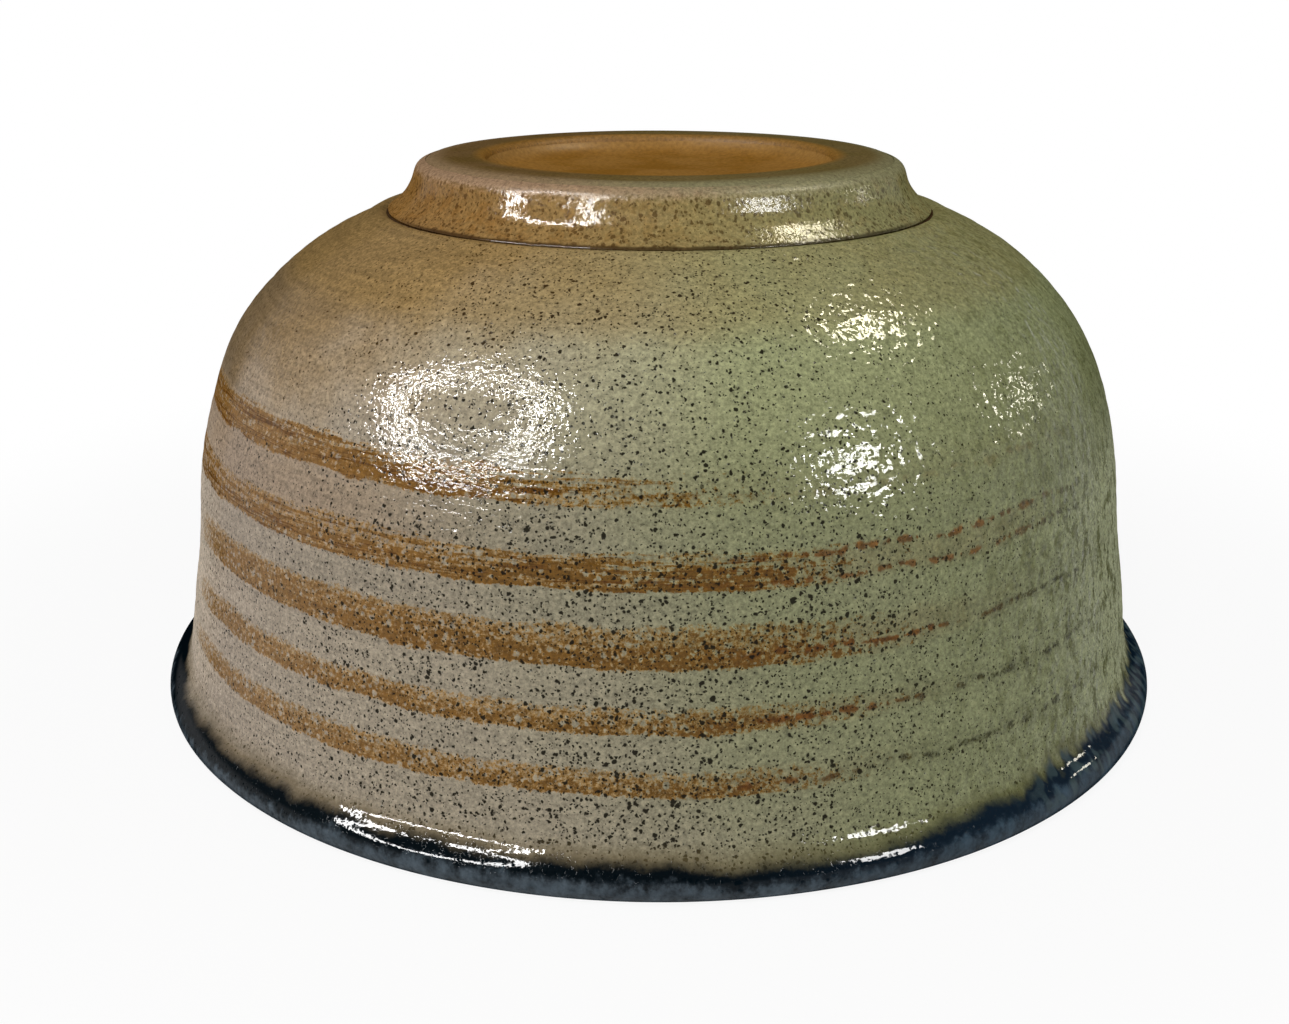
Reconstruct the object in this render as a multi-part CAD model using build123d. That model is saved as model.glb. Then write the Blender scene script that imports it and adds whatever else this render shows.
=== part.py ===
"""Tea bowl for whisked powdered tea, made as it is stored: mouth down, standing on its lip.

Millimetres and degrees, +Z up out of the foot, origin at the centre of the lip's plane. A thrown
clay wall carries a luted foot ring. Glaze lies on the wall as two coats, one outside and one
inside, which meet the cobalt coat folded over the lip. Iron brush strokes are let into the outer
coat, and amber glaze covers the foot's flank and its recess. Faces that touch share one line.
"""

import os
from math import cos, radians, sin

from build123d import *

# Overall form
mouth_radius = 62.0
bowl_height = 63.6
lip_thickness = 3.8
lip_lean = 32.0
lip_roll_lean = 55.0

# Wall outside, as steps inward and upward. The plain wall is what the height leaves.
flare_in = 3.04
flare_rise = 5.8
waist_in = 1.7
waist_rise = 10.5
wall_in = 1.3
belly_in = 2.2
belly_rise = 9.3
shoulder_in = 4.55
shoulder_rise = 8.4
haunch_in = 6.9
haunch_rise = 6.5
seat_rise = 4.5
seat_slope = 22.0

# Wall inside: total thickness at the haunch, clay over the recess, and the well's shallow dish
haunch_thickness = 5.2
floor_thickness = 5.0
well_radius = 24.0
well_dish = 1.2
well_flat_radius = 8.0

# Foot ring with its coved flank and well rounded edge, its groove and its recess
foot_radius = 28.9
foot_flare = 3.3
foot_height = 6.5
foot_width = 9.0
foot_cove = 0.3
foot_edge_round = 2.8
foot_edge_lean = 14.0
recess_batter = 0.8
recess_edge_round = 0.9
recess_depth = 2.8
groove_width = 0.3

# Glaze coats
coat_thickness = 0.5
rim_coat_height = 4.2
rim_coat_inside = 2.2
clay_lip_chamfer = 0.9
roll_width = 0.5
roll_height = 0.1
foot_coat_thickness = 0.4
foot_coat_seat = 0.9
foot_coat_cove = 0.55
foot_coat_end = 55.0
pool_depth = 0.5
pool_climb = 1.55
pool_width = 2.4
pool_cove = 0.35

# Iron strokes, from the foot down to the lip. Their starts and ends are angles round the bowl.
stroke_depth = 0.25
stroke_heights = (37.5, 29.9, 22.5, 16.1, 10.1)
stroke_widths = (3.0, 3.3, 3.8, 2.4, 2.4)
stroke_start = 112.0
stroke_ends = (250.0, 291.0, 282.0, 286.0, 284.0)
dash_counts = (3, 4, 7, 4, 3)
dash_width = 1.4
dash_sweep = 1.6
dash_pitch = 4.5
cutter_reach = 1.0


def at(radius, height):
    """A point or a direction of the half section, by its radius and its height."""
    return Vector(radius, 0, height)


def outward(along):
    """The direction square to a line of the section, away from the bowl's inside."""
    return Vector(along.Z, 0, -along.X).normalized()


def bowed(start, end, bow):
    """An arc whose middle stands off its chord by bow, outward where bow is positive."""
    return ThreePointArc(start, (start + end) / 2 + outward(end - start) * bow, end)


def smooth(points, first_along, last_along):
    """A curve through points that leaves the first and reaches the last in given directions."""
    return Spline(points, tangents=[first_along, last_along], tangent_scalars=[1, 1])


def turned(*edges):
    """The solid of revolution whose half section these edges close."""
    return revolve(make_face(edges), Axis.Z)


def leaning(angle):
    """The direction up the wall where it leans out by an angle."""
    return at(-sin(radians(angle)), cos(radians(angle)))


# Lip: a half round set at lip_lean, then a roll outside whose lean grows to lip_roll_lean
lean_up = leaning(lip_lean)
lean_out = outward(lean_up)
roll_up = leaning(lip_roll_lean)
roll_chord = leaning((lip_lean + lip_roll_lean) / 2)
lip_round = lip_thickness / 2
lip_centre = at(mouth_radius - lip_round, lip_round)
lip_outside = lip_centre + lean_out * lip_round
lip_inside = lip_centre - lean_out * lip_round
lip_end = lip_centre - lean_up * lip_round
rim_top = lip_outside + roll_chord * ((rim_coat_height - lip_outside.Z) / roll_chord.Z)

# Base: one straight cone of clay carries the end of the outer coat, the groove and the foot
base_top = bowl_height - recess_depth
recess_radius = foot_radius - foot_width
foot_base_radius = foot_radius + foot_flare
seat_radius = foot_base_radius + groove_width + roll_width
clay_seat = at(seat_radius, bowl_height - foot_height)
recess_corner = at(recess_radius, base_top)
base_line = Line(clay_seat, recess_corner)
base_out = outward(base_line % 0)
edge_centre = at(foot_radius - foot_edge_round, bowl_height - foot_edge_round)
seat = clay_seat + base_out * coat_thickness

# Stations on the outer face, from the lip up and from the seat down
flare = lip_outside + at(-flare_in, flare_rise)
waist = flare + at(-waist_in, waist_rise)
haunch_height = seat.Z - seat_rise
shoulder_height = haunch_height - haunch_rise
belly_height = shoulder_height - shoulder_rise
plain = at(waist.X - wall_in, belly_height - belly_rise)
belly = at(plain.X - belly_in, belly_height)
shoulder = at(belly.X - shoulder_in, shoulder_height)
haunch = at(shoulder.X - haunch_in, haunch_height)
stations = [rim_top, flare, waist, plain, belly, shoulder, haunch, seat]


def station_outward(place):
    """The wall's outward direction at a station."""
    if place == 0:
        return outward(roll_up)
    if place == len(stations) - 1:
        return base_out
    return outward(stations[place + 1] - stations[place - 1])


def set_in(places, lip_depth, last_depth):
    """The first stations moved into the wall by a depth that runs evenly from first to last."""
    moved = []
    for place in range(places):
        depth = lip_depth + (last_depth - lip_depth) * place / (places - 1)
        moved.append(stations[place] - station_outward(place) * depth)
    return moved


# Four lines make the wall: glaze face and clay face outside, clay face and glaze face inside
seat_along = at(-cos(radians(seat_slope)), sin(radians(seat_slope)))
outer_face = smooth(stations, roll_up, seat_along)
clay_outside = set_in(len(stations), coat_thickness, coat_thickness)
outer_clay = smooth(clay_outside, roll_up, seat_along)


def inside_line(lip_depth, haunch_depth, well):
    """A line down the inside, from the lip to the flat in the middle of the well."""
    start = lip_outside - lean_out * lip_depth + lean_up * rim_coat_inside
    well_edge = well + at(well_radius, -well_dish)
    well_flat = well + at(well_flat_radius, 0)
    down = set_in(len(stations) - 1, lip_depth, haunch_depth)[1:]
    return smooth([start, *down, well_edge, well_flat], lean_up, at(-1, 0))


clay_well = at(0, base_top - floor_thickness)
glaze_well = clay_well - at(0, coat_thickness)
inner_face = inside_line(lip_thickness, haunch_thickness, glaze_well)
inner_clay = inside_line(
    lip_thickness - coat_thickness,
    haunch_thickness - coat_thickness,
    clay_well,
)

# Clay lip under the cobalt: two flanks, two sponged chamfers and a flat end
clay_end = lip_end + lean_up * coat_thickness
clay_half = lip_round - coat_thickness
clay_lip = Polyline(
    outer_clay @ 0,
    clay_end + lean_out * clay_half + lean_up * clay_lip_chamfer,
    clay_end + lean_out * (clay_half - clay_lip_chamfer),
    clay_end - lean_out * (clay_half - clay_lip_chamfer),
    clay_end - lean_out * clay_half + lean_up * clay_lip_chamfer,
    inner_clay @ 0,
)


def on_base(radius):
    """The point of the base cone at a radius."""
    share = (seat_radius - radius) / (seat_radius - recess_radius)
    return clay_seat + (recess_corner - clay_seat) * share


def make_clay_wall():
    """Thrown clay from the chamfered lip to the floor of the foot's recess."""
    base_centre = at(0, base_top)
    return turned(
        clay_lip,
        outer_clay,
        base_line,
        Line(recess_corner, base_centre),
        Line(base_centre, clay_well),
        Line(clay_well, inner_clay @ 1),
        inner_clay,
    )


def make_rim_glaze():
    """Cobalt coat folded over the lip, flush with the coats above it on both sides."""
    return turned(
        TangentArc(lip_outside, rim_top, tangent=lean_up),
        ThreePointArc(lip_outside, lip_end, lip_inside),
        Line(lip_inside, inner_face @ 0),
        Line(inner_face @ 0, inner_clay @ 0),
        clay_lip,
        Line(outer_clay @ 0, rim_top),
    )


def make_outer_glaze():
    """Outer coat, gathered into a roll where it stops at the groove."""
    groove = on_base(foot_base_radius + groove_width)
    return turned(
        Line(outer_clay @ 0, rim_top),
        outer_face,
        bowed(seat, groove, roll_height),
        Line(groove, clay_seat),
        outer_clay,
    )


def make_inner_glaze():
    """Inner coat, from the cobalt up to the middle of the well."""
    return turned(
        Line(inner_clay @ 0, inner_face @ 0),
        inner_face,
        Line(inner_face @ 1, glaze_well),
        Line(glaze_well, clay_well),
        Line(clay_well, inner_clay @ 1),
        inner_clay,
    )


def outer_share(height):
    """How far along the outer face a height lies, found by halving."""
    low = 0.0
    high = 1.0
    while high - low > 1e-7:
        middle = (low + high) / 2
        if (outer_face @ middle).Z < height:
            low = middle
        else:
            high = middle
    return low


def stroke_cutter(height, width, start, sweep):
    """A block that follows the wall round, from stroke_depth under its face to well outside it."""
    corners = []
    for edge_height in (height, height + width):
        share = outer_share(edge_height)
        face = outer_face @ share
        out = outward(outer_face % share)
        corners += [face - out * stroke_depth, face + out * cutter_reach]
    lower_in, lower_out, upper_in, upper_out = corners
    section = make_face(Polyline(lower_in, lower_out, upper_out, upper_in, close=True))
    return Rot(Z=start) * revolve(section, Axis.Z, revolution_arc=sweep)


def stroke_cutters(height, width, end, dashes):
    """One long stroke and the dry dashes that the brush leaves after it."""
    cutters = [stroke_cutter(height, width, stroke_start, end - stroke_start)]
    for count in range(1, dashes + 1):
        cutters.append(stroke_cutter(height, dash_width, end + count * dash_pitch, dash_sweep))
    return cutters


def around_edge(radius, angle):
    """A point about the centre of the foot's rounded edge, at an angle up from level."""
    return edge_centre + at(cos(radians(angle)), sin(radians(angle))) * radius


def edge_arc(radius, first_angle, last_angle):
    """An arc round the foot's edge, parallel to the clay's own rounding."""
    middle = around_edge(radius, (first_angle + last_angle) / 2)
    return ThreePointArc(around_edge(radius, first_angle), middle, around_edge(radius, last_angle))


def make_foot_ring():
    """Foot ring, luted on to the base cone: coved flank, rounded edge, level standing face."""
    bottom = on_base(foot_base_radius - foot_coat_seat)
    edge = edge_arc(foot_edge_round, foot_edge_lean, 90)
    standing_inside = at(recess_radius + recess_batter, bowl_height)
    section = make_face(
        [
            bowed(bottom, edge @ 0, -foot_cove),
            edge,
            Polyline(edge @ 1, standing_inside, recess_corner, bottom),
        ]
    )
    inner_edge = section.vertices().group_by(Axis.Z)[-1].sort_by(Axis.X)[0]
    section = fillet(inner_edge, recess_edge_round)
    return revolve(section, Axis.Z)


def make_foot_glaze():
    """Amber coat on the foot's flank, flush with the outer coat across the groove. It sweeps up
    the flank and stops part way over the rounded edge."""
    clay_bottom = on_base(foot_base_radius - foot_coat_seat)
    bottom = on_base(foot_base_radius)
    brow = bottom + base_out * coat_thickness
    clay_edge = edge_arc(foot_edge_round, foot_edge_lean, foot_coat_end)
    face_edge = edge_arc(foot_edge_round + foot_coat_thickness, foot_edge_lean, foot_coat_end)
    return turned(
        Line(clay_bottom, bottom),
        Line(bottom, brow),
        bowed(brow, face_edge @ 0, -foot_coat_cove),
        face_edge,
        Line(face_edge @ 1, clay_edge @ 1),
        clay_edge,
        bowed(clay_bottom, clay_edge @ 0, -foot_cove),
    )


def make_recess_glaze():
    """Amber glaze pooled in the recess and drawn a little way up its wall."""
    wall_head = at(recess_radius + recess_batter, bowl_height)
    wall_share = (pool_depth + pool_climb) / recess_depth
    climb = recess_corner + (wall_head - recess_corner) * wall_share
    surface = base_top + pool_depth
    shore = at(climb.X - pool_width, surface)
    return turned(
        Line(at(0, base_top), recess_corner),
        Line(recess_corner, climb),
        bowed(climb, shore, -pool_cove),
        Line(shore, at(0, surface)),
        Line(at(0, surface), at(0, base_top)),
    )


def main():
    """Build every piece and write each one to its own file."""
    outer_glaze = make_outer_glaze()
    pieces = {}
    strokes = zip(stroke_heights, stroke_widths, stroke_ends, dash_counts)
    for number, stroke in enumerate(strokes, start=1):
        cutters = stroke_cutters(*stroke)
        laid = [solid for cutter in cutters for solid in (outer_glaze & cutter).solids()]
        pieces[f"iron_stroke_{number}"] = Compound(children=laid)
        outer_glaze = outer_glaze - cutters
    pieces["outer_glaze"] = outer_glaze
    pieces["clay_wall"] = make_clay_wall()
    pieces["inner_glaze"] = make_inner_glaze()
    pieces["rim_glaze"] = make_rim_glaze()
    pieces["foot_ring"] = make_foot_ring()
    pieces["foot_glaze"] = make_foot_glaze()
    pieces["recess_glaze"] = make_recess_glaze()
    os.makedirs("parts", exist_ok=True)
    for name, piece in pieces.items():
        export_step(piece, f"parts/{name}.step")


main()
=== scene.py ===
from math import cos, degrees, pi, radians, sin, tau
from typing import NamedTuple

import bpy
import numpy as np
from mathutils import Euler, Matrix, Vector


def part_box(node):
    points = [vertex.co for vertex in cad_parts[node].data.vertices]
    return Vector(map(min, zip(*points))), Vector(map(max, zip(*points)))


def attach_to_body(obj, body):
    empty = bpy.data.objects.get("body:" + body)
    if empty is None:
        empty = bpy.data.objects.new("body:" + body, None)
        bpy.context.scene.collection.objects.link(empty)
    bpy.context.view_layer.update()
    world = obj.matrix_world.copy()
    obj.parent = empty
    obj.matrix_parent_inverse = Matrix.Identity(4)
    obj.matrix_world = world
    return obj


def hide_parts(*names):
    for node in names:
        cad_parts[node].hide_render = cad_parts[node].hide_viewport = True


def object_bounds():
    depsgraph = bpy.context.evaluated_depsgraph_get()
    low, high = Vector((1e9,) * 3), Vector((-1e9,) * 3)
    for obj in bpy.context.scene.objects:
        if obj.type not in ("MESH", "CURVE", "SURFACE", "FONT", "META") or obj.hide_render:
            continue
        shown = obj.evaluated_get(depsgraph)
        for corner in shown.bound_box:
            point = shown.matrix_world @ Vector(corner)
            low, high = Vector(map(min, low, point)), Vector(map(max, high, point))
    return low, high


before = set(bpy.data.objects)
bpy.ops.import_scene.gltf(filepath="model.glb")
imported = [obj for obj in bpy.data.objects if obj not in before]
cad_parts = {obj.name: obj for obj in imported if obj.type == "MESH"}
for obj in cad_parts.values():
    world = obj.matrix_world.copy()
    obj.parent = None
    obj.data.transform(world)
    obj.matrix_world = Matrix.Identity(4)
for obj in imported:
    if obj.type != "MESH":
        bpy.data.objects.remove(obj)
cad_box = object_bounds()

# Sections, reliefs and patterns are in millimetres, and lamps and the camera in metres.
MM = 0.001  # metres in a millimetre
TOUCH = 0.001  # mm within which a point counts as on the axis, or as in the seam's plane
LINE_STEP = 0.05  # mm between the points of a fine section line
SHARP_TURN = 40.0  # degrees of turn from which a corner of a section is kept as an edge
EDGE_SOFTNESS = 0.15  # mm over which such an edge is rounded
BACK_ROWS = 12  # most rows of points on the hidden back of a piece
TINY = 1e-6  # size under which a direction can't be told

# Directions as (out, up). Each names the corner furthest that way, and the last three choose
# between two corners that lie about as far in or out.
OUT, IN, UP, DOWN = (1, 0), (-1, 0), (0, 1), (0, -1)
IN_AND_DOWN, OUT_AND_DOWN, IN_AND_UP = (-10, -1), (10, -3), (-10, 1)

TOP = cad_box[1].z / MM  # height of the standing face
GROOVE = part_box("foot_glaze")[1].x / MM  # radius at which the foot's coat meets the wall's


def add_object(name, data):
    """A new object in the scene."""
    thing = bpy.data.objects.new(name, data)
    bpy.context.scene.collection.objects.link(thing)
    return thing


# ---------------------------------------------------------------- section lines of the CAD

def seam_links(node):
    """Which corners of a turned CAD node's section, as (radius, height), its edges join."""
    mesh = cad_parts[node].data
    places = np.empty(3 * len(mesh.vertices))
    mesh.vertices.foreach_get("co", places)
    places = places.reshape(-1, 3) / MM
    edges = np.empty(2 * len(mesh.edges), int)
    mesh.edges.foreach_get("vertices", edges)
    edges = edges.reshape(-1, 2)
    on_seam = (abs(places[:, 1]) < TOUCH) & (places[:, 0] > -TOUCH)
    links = {}
    for pair in edges[on_seam[edges].all(1)]:
        a, b = (tuple(np.round(places[end][[0, 2]], 3)) for end in pair)
        if a != b:
            links.setdefault(a, []).append(b)
            links.setdefault(b, []).append(a)
    return links


def section(node):
    """The corners of a turned CAD node's section, in order and counter-clockwise."""
    links = seam_links(node)
    ends = [corner for corner, near in links.items() if len(set(near)) == 1]
    walk = [min(ends or links)]
    while ahead := [corner for corner in links[walk[-1]] if corner not in walk]:
        walk.append(ahead[0])
    if ends:  # flat faces across the axis have no corner on it
        off_axis = [corner for corner in walk if corner[0] > 0]
        walk = [(0.0, walk[0][1]), *off_axis, (0.0, walk[-1][1])]
    radius, height = np.array(walk).T
    area = (radius * np.roll(height, -1) - height * np.roll(radius, -1)).sum()
    return np.array(walk if area > 0 else walk[::-1])


def face_and_back(node, first, last):
    """A node's section cut in two, at its corners furthest along two directions."""
    corners = section(node)
    begin = int(np.argmax(corners @ np.array(first)))
    corners = np.roll(corners, -begin, axis=0)
    end = int(np.argmax(corners @ np.array(last)))
    return corners[: end + 1], np.vstack([corners[end:], corners[:1]])


def along_line(points):
    """How far along a line each of its points lies."""
    return np.r_[0, np.cumsum(np.hypot(*np.diff(points, axis=0).T))]


def spline(corners):
    """Points a small step apart on a smooth line through the corners."""
    along = along_line(corners)
    gap = np.diff(along)
    count = len(along)
    bend = np.eye(count)
    pull = np.zeros((count, 2))
    for k in range(1, count - 1):
        bend[k, k - 1 : k + 2] = gap[k - 1], 2 * (gap[k - 1] + gap[k]), gap[k]
        ahead = (corners[k + 1] - corners[k]) / gap[k]
        behind = (corners[k] - corners[k - 1]) / gap[k - 1]
        pull[k] = 6 * (ahead - behind)
    moment = np.linalg.solve(bend, pull)
    at = np.linspace(0, along[-1], max(2, int(along[-1] / LINE_STEP)))
    k = np.clip(np.searchsorted(along, at) - 1, 0, count - 2)
    t = (at - along[k])[:, None]
    h = gap[k][:, None]
    slope = (corners[k + 1] - corners[k]) / h - h * (2 * moment[k] + moment[k + 1]) / 6
    bending = t * t * moment[k] / 2 + t**3 * (moment[k + 1] - moment[k]) / (6 * h)
    return corners[k] + t * slope + bending


def smooth_line(corners):
    """A fine line through the corners, with each sharp corner slightly rounded."""
    along = np.diff(corners, axis=0)
    heading = np.unwrap(np.arctan2(along[:, 1], along[:, 0]))
    sharp = 1 + np.flatnonzero(abs(np.diff(heading)) > radians(SHARP_TURN))
    cuts = [0, *sharp, len(corners) - 1]
    fine = np.vstack([spline(corners[a : b + 1]) for a, b in zip(cuts, cuts[1:])])
    reach = int(3 * EDGE_SOFTNESS / LINE_STEP)
    weight = np.exp(-0.5 * (np.arange(-reach, reach + 1) * LINE_STEP / EDGE_SOFTNESS) ** 2)
    weight /= weight.sum()
    before = 2 * fine[0] - fine[reach:0:-1]
    after = 2 * fine[-1] - fine[-2 : -reach - 2 : -1]
    padded = np.vstack([before, fine, after])
    return np.stack([np.convolve(column, weight, "valid") for column in padded.T], 1)


class Line:
    """A fine section line with its arc length, which gives places and outward directions."""

    def __init__(self, corners):
        self.points = smooth_line(corners)
        self.arc = along_line(self.points)
        slope = np.gradient(self.points, axis=0)
        slope /= np.hypot(*slope.T)[:, None]
        self.out = np.stack([slope[:, 1], -slope[:, 0]], 1)
        self.length = self.arc[-1]

    def read(self, values, at):
        """Values that are given for each point, read at some arc lengths."""
        return np.stack([np.interp(at, self.arc, column) for column in values.T], 1)

    def place(self, at):
        return self.read(self.points, at)

    def outward(self, at):
        out = self.read(self.out, at)
        return out / np.hypot(*out.T)[:, None]

    def arc_at(self, corner):
        """The arc length at the point nearest to a corner."""
        return float(self.arc[np.argmin(np.hypot(*(self.points - corner).T))])


# ---------------------------------------------------------------- turned pieces

def turns(columns):
    """Angles of evenly spaced columns round the axis."""
    return np.arange(columns) * tau / columns


def turned(radius, height, turn):
    """Points or directions, given by radius and height, turned round the axis."""
    x, y = radius * np.cos(turn), radius * np.sin(turn)
    return np.stack(np.broadcast_arrays(x, y, height), -1)


def ripple(rng, turn, arc, length, lobes, waves, strength):
    """A smooth uneven relief. Each of its waves has about the given length up the wall, and
    shifts by at most so many lengths, its lobes, on its way round."""
    total = np.zeros((len(arc), len(turn)))
    for _ in range(waves):
        around = rng.integers(-lobes, lobes + 1)
        wave = rng.uniform(0.7, 1.4) * length
        phase = rng.uniform(0, tau)
        total += np.cos(tau * arc[:, None] / wave + around * turn[None, :] + phase)
    return total * strength / np.sqrt(waves / 2)


def fade_ends(arc, length, first, last, start=0.0):
    """1 along a line, fading to 0 over a first and a last stretch of it."""
    return np.clip((arc - start) / first, 0, 1) * np.clip((length - arc) / last, 0, 1)


def grid(line, rows, columns, relief):
    """Places and outward directions over a turned face with its relief."""
    turn = turns(columns)
    out = line.outward(rows)
    raised = line.place(rows)[:, None, :] + out[:, None, :] * relief(turn, rows)[:, :, None]
    places = turned(raised[..., 0], raised[..., 1], turn)
    up = np.gradient(places, axis=0)
    around = np.roll(places, -1, 1) - np.roll(places, 1, 1)
    normals = np.cross(around, up)
    size = np.linalg.norm(normals, axis=-1, keepdims=True)
    plain = turned(out[:, :1], out[:, 1:], turn)
    return places, np.where(size > TINY, normals / np.maximum(size, TINY), plain)


def join_rows(index, v):
    """Faces that join each row of vertices to the next, and the last to the first, with their
    corners' places in the texture, where row k begins at the height v[k]. A row on the axis is
    one vertex, over and over."""
    faces = []
    uvs = []
    columns = index.shape[1]
    for k, (row, following) in enumerate(zip(index, np.roll(index, -1, axis=0))):
        for j in range(columns):
            beside = (j + 1) % columns
            quad = [row[j], row[beside], following[beside], following[j]]
            corners = [(j, v[k]), (j + 1, v[k]), (j + 1, v[k + 1]), (j, v[k + 1])]
            kept = [c for c in range(4) if quad[c] != quad[c - 1]]
            if len(kept) > 2:
                faces.append([quad[c] for c in kept])
                uvs.extend((corners[c][0] / columns, corners[c][1]) for c in kept)
    return faces, uvs


def shell(name, face, normals, back, columns):
    """A closed piece: a detailed face, then a plain back from its last row to its first."""
    inner = back[1:-1]
    if len(inner) > BACK_ROWS:
        inner = inner[np.linspace(0, len(inner) - 1, BACK_ROWS).round().astype(int)]
    rows = np.concatenate([face, turned(inner[:, :1], inner[:, 1:], turns(columns))])
    index = np.zeros((len(rows), columns), int)
    vertices = []
    for k, row in enumerate(rows):
        on_axis = np.hypot(*row[0, :2]) < TOUCH
        index[k] = len(vertices) + (0 if on_axis else np.arange(columns))
        vertices.extend(row[:1] if on_axis else row)

    # Nearly all of the texture's height is the face's, and a narrow strip is the back's
    v = np.r_[np.linspace(0, 0.96, len(face)), np.linspace(0.965, 1.0, len(inner) + 1)]
    faces, uvs = join_rows(index, v)
    mesh = bpy.data.meshes.new(name)
    mesh.from_pydata(np.array(vertices) * MM, [], faces)
    mesh.update()
    layer = mesh.uv_layers.new(name="OFBake")  # the map into which the materials are baked
    layer.data.foreach_set("uv", np.array(uvs, np.float32).ravel())
    mesh.shade_smooth()
    piece = add_object(name, mesh)
    own = np.array([vertex.normal[:] for vertex in mesh.vertices])
    for k in range(len(face)):
        own[index[k]] = normals[k]
    mesh.normals_split_custom_set_from_vertices(own.tolist())
    return piece


# ---------------------------------------------------------------- surface patterns

class Field:
    """A number, place, colour or shader that varies over a surface: an output of a node."""

    def __init__(self, socket):
        self.socket = socket
        self.tree = socket.id_data

    def __add__(self, other):
        return number("ADD", self, other)

    def __sub__(self, other):
        return number("SUBTRACT", self, other)

    def __rsub__(self, other):
        return number("SUBTRACT", other, self)

    def __mul__(self, other):
        return number("MULTIPLY", self, other)

    def __truediv__(self, other):
        return number("DIVIDE", self, other)

    __radd__ = __add__
    __rmul__ = __mul__


def attach(socket, value):
    """A socket takes a field or a plain value."""
    if isinstance(value, Field):
        value.tree.links.new(value.socket, socket)
    else:
        socket.default_value = value


def make_node(tree, kind, inputs=(), **settings):
    """A new shader node with its settings, and its inputs by name or number."""
    node = tree.nodes.new("ShaderNode" + kind)
    for name, value in settings.items():
        setattr(node, name, value)
    for socket, value in dict(inputs).items():
        attach(node.inputs[socket], value)
    return node


def shader(tree, kind, inputs=()):
    """The output of a new shader node."""
    return Field(make_node(tree, kind, inputs).outputs[0])


def number(operation, *inputs):
    """A field worked out from numbers and fields."""
    tree = next(value.tree for value in inputs if isinstance(value, Field))
    return Field(make_node(tree, "Math", enumerate(inputs), operation=operation).outputs[0])


def absolute(value):
    return number("ABSOLUTE", value)


def least(a, b):
    return number("MINIMUM", a, b)


def most(first, *others):
    """The greatest of some fields."""
    for other in others:
        first = number("MAXIMUM", first, other)
    return first


def step(value, low, high):
    """A smooth step from 0 at low to 1 at high."""
    inputs = {"Value": value, "From Min": low, "From Max": high}
    node = make_node(value.tree, "MapRange", inputs, interpolation_type="SMOOTHSTEP")
    return Field(node.outputs["Result"])


def fall(value, low, high):
    """A smooth step down, from 1 at low to 0 at high."""
    return 1 - step(value, low, high)


def stretched(place, around, upward):
    """A place with its axes scaled, so that a pattern read there is drawn out round the bowl
    or up its wall."""
    inputs = {0: place, 1: (around, around, upward)}
    return Field(make_node(place.tree, "VectorMath", inputs, operation="MULTIPLY").outputs[0])


def noise(place, scale, detail=2.0, rough=0.5):
    """Cloudy values round 0.5, with about as many clouds to a millimetre as the scale."""
    inputs = {"Vector": place, "Scale": scale, "Detail": detail, "Roughness": rough}
    return Field(make_node(place.tree, "TexNoise", inputs).outputs["Fac"])


def shaken(place, scale, reach):
    """A place moved about a little, so that what is read there loses its clean outline."""
    cloud = make_node(place.tree, "TexNoise", {"Vector": place, "Scale": scale})
    inputs = {0: Field(cloud.outputs["Color"]), 1: (reach, reach, reach), 2: place}
    moved = make_node(place.tree, "VectorMath", inputs, operation="MULTIPLY_ADD")
    return Field(moved.outputs[0])


def cells(place, scale):
    """The distance in mm to the nearest of many scattered points, and two random numbers of
    that point."""
    node = make_node(place.tree, "TexVoronoi", {"Vector": place, "Scale": scale})
    split = make_node(place.tree, "SeparateColor", {0: Field(node.outputs["Color"])})
    return Field(node.outputs["Distance"]) / scale, Field(split.outputs[0]), Field(split.outputs[1])


def colour(red, green, blue):
    """A colour as an eye names it, 0 to 255, in the linear form that shaders take."""
    parts = [part / 255 for part in (red, green, blue)]
    linear = (p / 12.92 if p <= 0.04045 else ((p + 0.055) / 1.055) ** 2.4 for p in parts)
    return (*linear, 1.0)


def blend(share, below, above):
    """A colour between two, by a share."""
    inputs = {"Factor": share, 6: below, 7: above}
    return Field(make_node(share.tree, "Mix", inputs, data_type="RGBA").outputs[2])


def over(tint, paint, where, strength):
    """A tint with a paint laid over it where a field says, by at most a strength."""
    return blend(where * strength, tint, paint)


def scaled(tint, amount):
    """A colour made lighter or darker by a field."""
    inputs = {0: tint, "Scale": amount}
    return Field(make_node(amount.tree, "VectorMath", inputs, operation="SCALE").outputs[0])


def lighter(tint, where, share):
    """A tint made lighter by a share where a field says, or darker where the share is below 0."""
    return scaled(tint, 1.0 + where * share)


def span(node):
    """The heights between which a CAD node lies."""
    low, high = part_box(node)
    return low.z / MM, high.z / MM


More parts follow.
